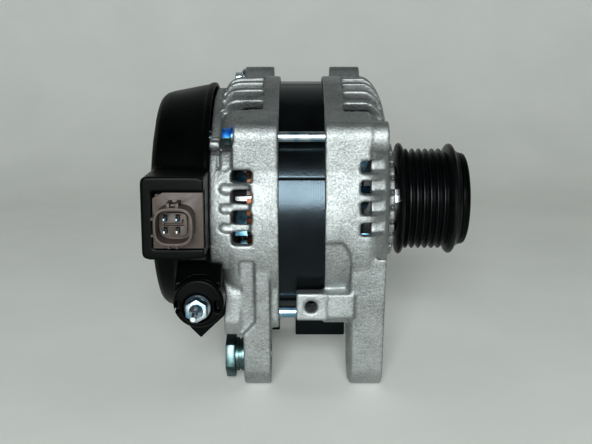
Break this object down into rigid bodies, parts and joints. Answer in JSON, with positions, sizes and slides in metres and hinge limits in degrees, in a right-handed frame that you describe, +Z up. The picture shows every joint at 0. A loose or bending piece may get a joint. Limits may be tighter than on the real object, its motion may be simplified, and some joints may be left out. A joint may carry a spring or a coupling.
{
  "type": "car alternator",
  "caption": "Belt-driven car alternator: finned die-cast brackets round a black stator, ribbed overrunning pulley, plastic rear cover with plug socket and output stud.",
  "frame": {"origin": "centre of the base of the bounding box, on the surface that the ears and the far foot stand on", "axes": "+X along the shaft towards the pulley, -Y towards the side with the plug socket, +Z up"},
  "size_m": [0.1624, 0.164, 0.1628],
  "materials": {
    "cast": "sand-textured die casting",
    "zinc": "zinc plate",
    "lacquer": "black lacquer",
    "black": "satin",
    "grey": "satin",
    "copper": "enamelled copper",
    "fan_blue": "blue zinc",
    "steel": "ground",
    "carbon": "carbon graphite",
    "pulley_black": "black coating"
  },
  "bodies": {
    "housing": {"front_bracket": "cast", "rear_bracket": "cast", "heatsink_positive": "cast", "heatsink_negative": "cast", "stator_core": "lacquer", "far_foot_front": "lacquer", "far_foot_rear": "lacquer", "stator_winding": "copper", "through_bolt_upper_near": "zinc", "through_bolt_top": "zinc", "through_bolt_lower_far": "zinc", "through_bolt_lower_near": "zinc", "cover_screw_1": "zinc", "cover_screw_2": "zinc", "cover_screw_3": "zinc", "connector_pin_1": "zinc", "connector_pin_2": "zinc", "connector_pin_3": "zinc", "connector_pin_4": "zinc", "b_plus_stud": "zinc", "b_plus_nut": "zinc", "pivot_bush": "zinc", "bearing_retainer": "zinc", "retainer_screw_1": "zinc", "retainer_screw_2": "zinc", "retainer_screw_3": "zinc", "brush_spring_inner": "zinc", "brush_spring_outer": "zinc", "rear_cover": "black", "brush_holder": "black", "voltage_regulator": "black", "b_plus_insulator": "black", "rectifier_insulator": "black", "regulator_connector": "grey", "diode_positive_1": "steel", "diode_positive_2": "steel", "diode_positive_3": "steel", "diode_negative_1": "steel", "diode_negative_2": "steel", "diode_negative_3": "steel", "front_bearing_outer": "steel", "rear_bearing_outer": "steel"},
    "rotor": {"rotor_shaft": "steel", "claw_pole_front": "lacquer", "claw_pole_rear": "lacquer", "field_coil": "copper", "front_fan": "fan_blue", "rear_fan": "fan_blue", "slip_ring_inner": "copper", "slip_ring_outer": "copper", "front_bearing_inner": "steel", "rear_bearing_inner": "steel", "pulley_hub": "steel", "clutch_cage": "steel"},
    "pulley": {"pulley": "pulley_black", "pulley_cap": "black"},
    "front_balls": {"front_bearing_balls": "steel"},
    "rear_balls": {"rear_bearing_balls": "steel"},
    "brush_inner": {"brush_inner": "carbon"},
    "brush_outer": {"brush_outer": "carbon"}
  },
  "joints": [
    {"name": "rotor_spin", "type": "hinge", "parent": "housing", "child": "rotor", "pos_m": [-0.00845, 0.016, 0.0921], "axis": [1, 0, 0], "continuous": true},
    {"name": "pulley_overrun", "type": "hinge", "parent": "rotor", "child": "pulley", "pos_m": [-0.00845, 0.016, 0.0921], "axis": [1, 0, 0], "continuous": true},
    {"name": "front_balls_roll", "type": "hinge", "parent": "housing", "child": "front_balls", "pos_m": [-0.00845, 0.016, 0.0921], "axis": [1, 0, 0], "continuous": true},
    {"name": "rear_balls_roll", "type": "hinge", "parent": "housing", "child": "rear_balls", "pos_m": [-0.00845, 0.016, 0.0921], "axis": [1, 0, 0], "continuous": true},
    {"name": "brush_inner_slide", "type": "slide", "parent": "housing", "child": "brush_inner", "axis": [0, 0, 1], "range_m": [0, 0.004], "stiffness_N_per_m": 300, "springref_m": -0.003, "deforming": ["brush_spring_inner"]},
    {"name": "brush_outer_slide", "type": "slide", "parent": "housing", "child": "brush_outer", "axis": [0, 0, 1], "range_m": [0, 0.004], "stiffness_N_per_m": 300, "springref_m": -0.003, "deforming": ["brush_spring_outer"]}
  ],
  "couplings": [
    {"joint": "front_balls_roll", "follows": "rotor_spin", "ratio": 0.3875},
    {"joint": "rear_balls_roll", "follows": "rotor_spin", "ratio": 0.404}
  ]
}
